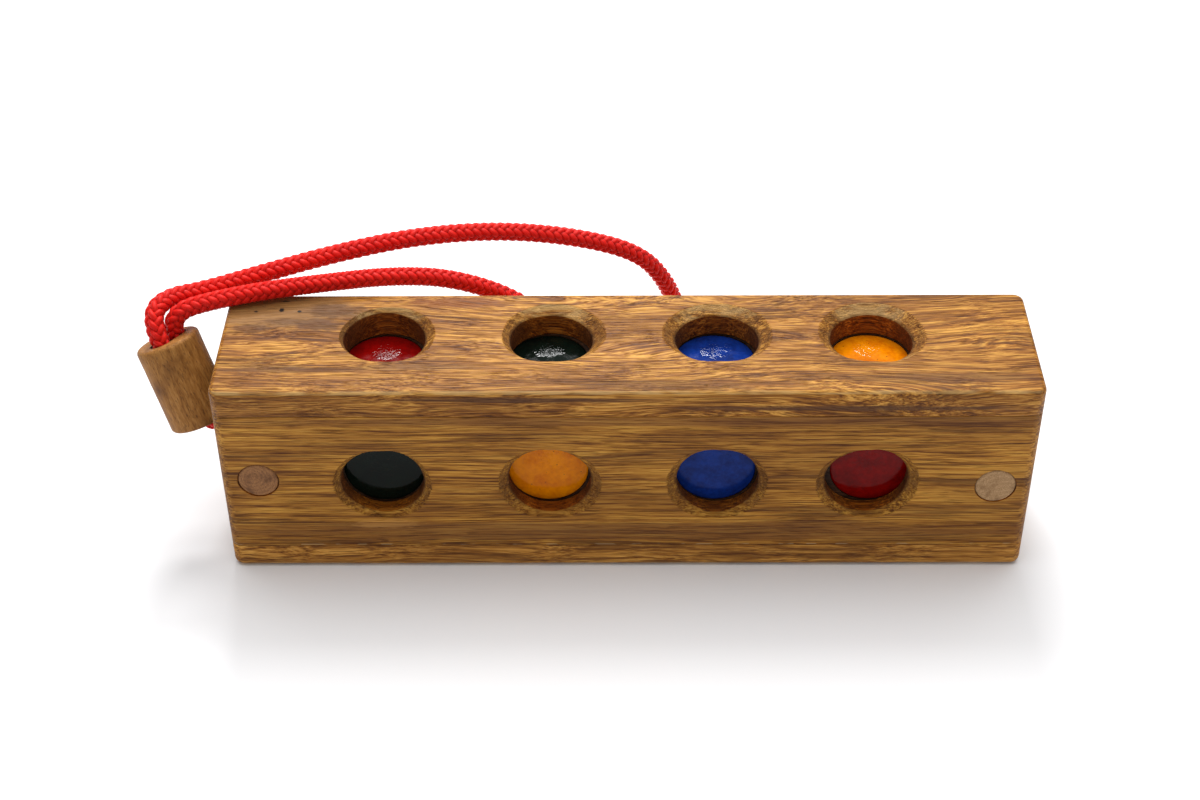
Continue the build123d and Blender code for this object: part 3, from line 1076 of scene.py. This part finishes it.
OAK = (srgb(108, 62, 13), srgb(172, 114, 36), srgb(208, 152, 62), srgb(74, 38, 9))
OAK_TOP = (srgb(98, 53, 12), srgb(162, 103, 32), srgb(222, 163, 74), srgb(76, 40, 10))
# the bottom board's oak, a little lighter than OAK: painted light against the shade near the floor
OAK_BOTTOM_LIGHTENED = (srgb(108, 62, 16), srgb(178, 118, 44), srgb(222, 162, 76), srgb(84, 44, 12))
GREY_KNOT = srgb(138, 100, 58)
DARK_SWIRL = srgb(84, 52, 30)
TOP_MARKS = (
    ((-88.0, 14.0, 56.5), (22.0, 9.0, 9.0), GREY_KNOT, 0.8),
    ((-76.0, 7.0, 56.5), (6.0, 3.0, 5.0), DARK_SWIRL, 0.75),
    ((-73.0, 13.0, 56.5), (8.0, 3.0, 4.0), DARK_SWIRL, 0.7),
    ((-93.0, 5.5, 56.5), (6.0, 1.8, 4.0), DARK_SWIRL, 0.6),
    ((-84.0, 8.5, 56.5), (7.0, 1.4, 4.0), DARK_SWIRL, 0.6),
    ((-85.6, 17.0, 56.5), (1.3, 0.4, 1.0), srgb(60, 44, 30), 0.8),
    ((-86.2, 13.3, 56.5), (0.7, 0.9, 1.0), srgb(20, 16, 14), 1.0),
    ((-81.7, 12.7, 56.5), (0.6, 0.5, 0.8), srgb(26, 20, 16), 1.0),
    ((-92.6, 12.7, 56.5), (0.6, 0.4, 0.8), srgb(40, 30, 24), 0.9),
    ((-42.0, 16.5, 56.5), (13.0, 2.6, 6.0), srgb(126, 66, 24), 0.78),
    ((-82.0, -11.0, 56.5), (20.0, 1.2, 4.0), DARK_SWIRL, 0.6),
    ((-50.0, -10.0, 56.5), (16.0, 1.4, 4.0), DARK_SWIRL, 0.5),
    ((8.0, -17.0, 56.5), (24.0, 2.0, 4.0), DARK_SWIRL, 0.5),
    ((80.0, -14.5, 56.5), (20.0, 2.2, 4.0), DARK_SWIRL, 0.55),
    ((-24.0, -20.0, 54.2), (34.0, 4.0, 0.9), DARK_SWIRL, 0.8),
    ((52.0, -20.0, 51.6), (44.0, 4.0, 0.8), DARK_SWIRL, 0.8),
)
FRONT_MARKS = (
    ((0.0, -20.0, 12.0), (120.0, 4.0, 3.6), srgb(104, 62, 32), 0.55),
    ((10.0, -20.0, 47.6), (110.0, 4.0, 1.6), srgb(104, 62, 32), 0.5),
    ((-60.0, -20.0, 14.5), (9.0, 3.0, 1.6), srgb(206, 148, 76), 0.4),
)
COLOURS = {
    "red": ((srgb(128, 4, 2), srgb(96, 1, 1)), 0.05, srgb(64, 1, 2)),
    "green": ((srgb(8, 20, 14), srgb(4, 11, 8)), 0.05, srgb(2, 6, 4)),
    "blue": ((srgb(16, 50, 132), srgb(10, 34, 98)), 0.06, srgb(6, 16, 52)),
    "yellow": ((srgb(228, 134, 1), srgb(202, 104, 1)), 0.11, srgb(90, 52, 4)),
}
DOT_COLOURS = {
    1: {"top": "red", "front": "green", "back": "blue", "bottom": "yellow"},
    2: {"top": "green", "front": "yellow", "back": "red", "bottom": "blue"},
    3: {"top": "blue", "front": "blue", "back": "yellow", "bottom": "green"},
    4: {"top": "yellow", "front": "red", "back": "green", "bottom": "red"},
}


def dress(node, material):
    """A CAD node that stays as it is gets its material."""
    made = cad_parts[node]
    made.data.materials.clear()
    made.data.materials.append(material)


def board_woods(name, tones, seed, marks, streaks, sway):
    """The three woods of one board: its face, its countersinks and its holes' walls."""
    return [
        plank_wood(f"{name}_{cut}", tones, seed, marks, streaks, sway, cut)
        for cut in ("face", "sink", "wall")
    ]


def build_boards():
    """The four boards, each with its own figure."""
    top_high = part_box("top_board")[1]
    front_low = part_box("front_board")[0]
    back_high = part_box("back_board")[1]
    pin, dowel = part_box("lock_pin"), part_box("fixed_dowel")
    pegs = [
        ((low.x + high.x) / 2, (low.z + high.z) / 2, (high.x - low.x) / 2 + gap)
        for (low, high), gap in ((pin, PEG_GAP), (dowel, DOWEL_GAP))
    ]
    lid_board(
        "top_board", TOP_WINDOWS, TOP_RIM_RADIUS,
        lambda u, v, depth: Vector((u, v, top_high.z - depth)),
        board_woods("oak_top", OAK_TOP, (0.0, 0.0, 0.0), TOP_MARKS, 0.63, 7.0), "board_wood",
    )
    lid_board(
        "bottom_board", BOTTOM_WINDOWS, BOTTOM_RIM_RADIUS,
        lambda u, v, depth: Vector((u, v, depth)),
        board_woods("oak_bottom", OAK_BOTTOM_LIGHTENED, (31.0, 9.0, 4.0), (), 0.57, 6.0), "bottom_wood",
    )
    side_board(
        "front_board", FRONT_WINDOWS,
        lambda u, v, depth: Vector((u, front_low.y + depth, v)),
        board_woods("oak_front", OAK, (77.0, 3.0, 20.0), FRONT_MARKS, 0.62, 1.6),
        "board_wood", pegs,
    )
    side_board(
        "back_board", BACK_WINDOWS,
        lambda u, v, depth: Vector((u, back_high.y - depth, v)),
        board_woods("oak_back", OAK, (140.0, 13.0, 8.0), (), 0.62, 4.0), "board_wood",
    )


def build_inside():
    """End blocks, pins, colour blocks and their dots."""
    # the colour blocks' wood is dark all over: painted shade for the gap seen round each dot
    block = plank_wood(
        "block_shade_wood", (srgb(38, 24, 16), srgb(60, 38, 24), srgb(84, 54, 34), srgb(22, 13, 9)),
        (9.0, 50.0, 3.0), seamed=False,
    )
    ends = end_grain("end_oak", srgb(150, 108, 64), srgb(84, 52, 28), (0.0, 46.0, -12.0),
                     (0.0, 0.0, 0.0), 2.6)
    for node in ("left_end_block", "right_end_block"):
        dress(node, ends)
    pin = end_grain("pin_end", srgb(168, 116, 68), srgb(98, 60, 30), (-91.8, 0.0, 30.2),
                    (3.0, 3.0, 3.0), 1.1, axis=1, ring_share=0.1)
    peg_piece("lock_pin_wood", "lock_pin", "lock_pin_body", "pin_wood", pin, 1.0)
    dowel = end_grain("dowel_end", srgb(190, 152, 108), srgb(134, 98, 60), (94.0, 0.0, 21.0),
                      (8.0, 1.0, 6.0), 1.4, axis=1, ring_share=0.08)
    peg_piece("fixed_dowel_wood", "fixed_dowel", "case", "dowel_wood", dowel, 4.0)
    paints = {
        colour: enamel(f"enamel_{colour}", *tones, specks, speck_colour, (index * 11.0, 0.0, 0.0))
        for index, (colour, (tones, specks, speck_colour)) in enumerate(COLOURS.items())
    }
    for number, sides in DOT_COLOURS.items():
        dress(f"block_{number}", block)
        for side, colour in sides.items():
            enamel_dot(number, side, paints[colour], colour)


def build_cord():
    """The cord, its knot and its bead."""
    line = spline_points(CORD_ROUTE)
    cord = braided_cord(line, cord_material())
    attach(cord, "case")
    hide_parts("carry_cord")
    dress("cord_knot", knot_material())
    hole = torn_shaded_wood("bead_hole", srgb(96, 62, 36), srgb(44, 26, 14), (2.0, 2.0, 2.0))
    bead = make_bead(line, bead_wood(), hole)


# ---------------------------------------- studio

FLOOR_HALF = 3.0


def add_floor():
    """A pale floor under the bar."""
    bm = bmesh.new()
    bmesh.ops.create_grid(bm, x_segments=8, y_segments=8, size=FLOOR_HALF)
    mesh = bpy.data.meshes.new("floor")
    bm.to_mesh(mesh)
    bm.free()
    mesh.materials.append(floor_material())
    link(bpy.data.objects.new("floor", mesh))


def add_light(name, place, target, size, power):
    """A soft rectangular lamp that faces a point."""
    data = bpy.data.lights.new(name, "AREA")
    data.shape = "RECTANGLE"
    data.size, data.size_y = size
    data.energy = power
    lamp = link(bpy.data.objects.new(name, data))
    lamp.location = place
    lamp.rotation_euler = (Vector(target) - Vector(place)).to_track_quat("-Z", "Y").to_euler()


def add_studio():
    """Soft light from above and behind, and a white surround."""
    add_floor()
    middle = (0.0, 0.0, 0.03)
    add_light("overhead", (0.0, 0.22, 1.10), middle, (1.3, 1.0), 10.0)
    add_light("key_back", (-0.05, 0.62, 1.10), middle, (0.36, 0.26), 3.0)
    add_light("glint_back", (-0.06, 0.82, 0.90), middle, (0.34, 0.12), 6.0)
    world = bpy.data.worlds.new("studio")
    bpy.context.scene.world = world
    world.use_nodes = True
    surround = world.node_tree.nodes["Background"]
    surround.inputs["Color"].default_value = WHITE
    surround.inputs["Strength"].default_value = 0.45
    bpy.context.scene.view_settings.view_transform = "Standard"


build_cord()
build_boards()
build_inside()
add_studio()
